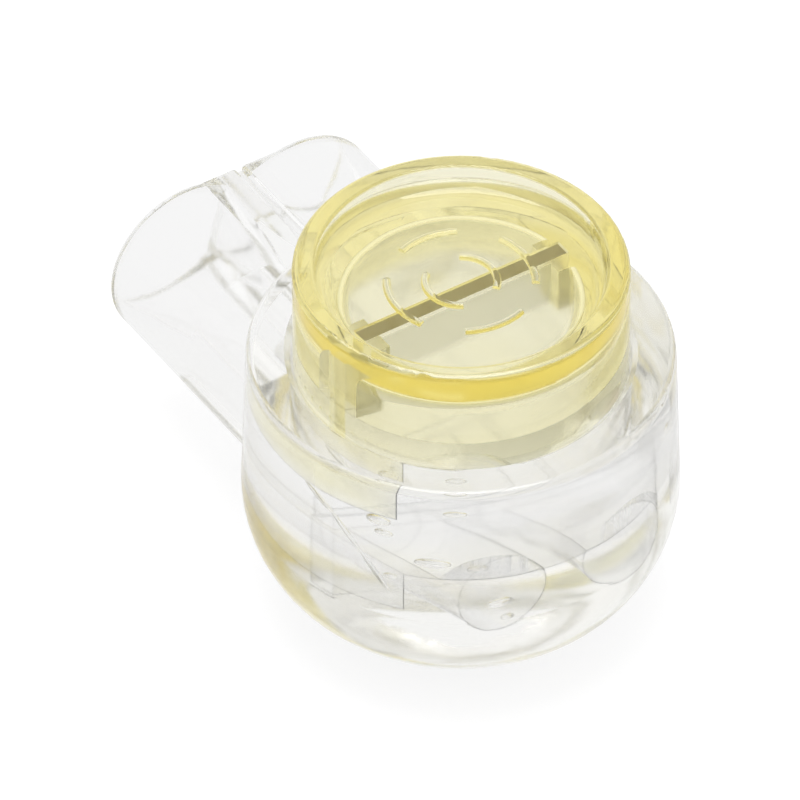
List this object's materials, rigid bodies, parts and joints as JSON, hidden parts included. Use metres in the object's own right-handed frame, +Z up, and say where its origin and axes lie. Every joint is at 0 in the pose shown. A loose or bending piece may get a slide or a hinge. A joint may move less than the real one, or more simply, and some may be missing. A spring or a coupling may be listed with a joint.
{
  "type": "push-button butt connector for telephone wires",
  "caption": "Clear gel-filled butt connector: side-by-side wires enter a twin-lobed port and a button presses a slotted contact over them.",
  "frame": {"origin": "centre of the flat base, on the button's axis", "axes": "+Z up along the button's axis, +Y along the wires towards the port's mouth, X from wire to wire"},
  "size_m": [0.011, 0.0159, 0.0106],
  "materials": {
    "clear_housing": "clear moulded polymer, glossy",
    "amber_button": "amber tinted transparent polymer, glossy",
    "tinned_contact": "tin-plated brass strip, satin",
    "sealant": "soft clear sealant, wet"
  },
  "bodies": {
    "housing": {"housing": "clear_housing", "sealant_gel": "sealant"},
    "button": {"button_cap": "amber_button", "contact_blade": "tinned_contact"}
  },
  "joints": [
    {"name": "button_press", "type": "slide", "parent": "housing", "child": "button", "axis": [0, 0, -1], "range_m": [0, 0.0028], "deforming": ["sealant_gel"]}
  ]
}
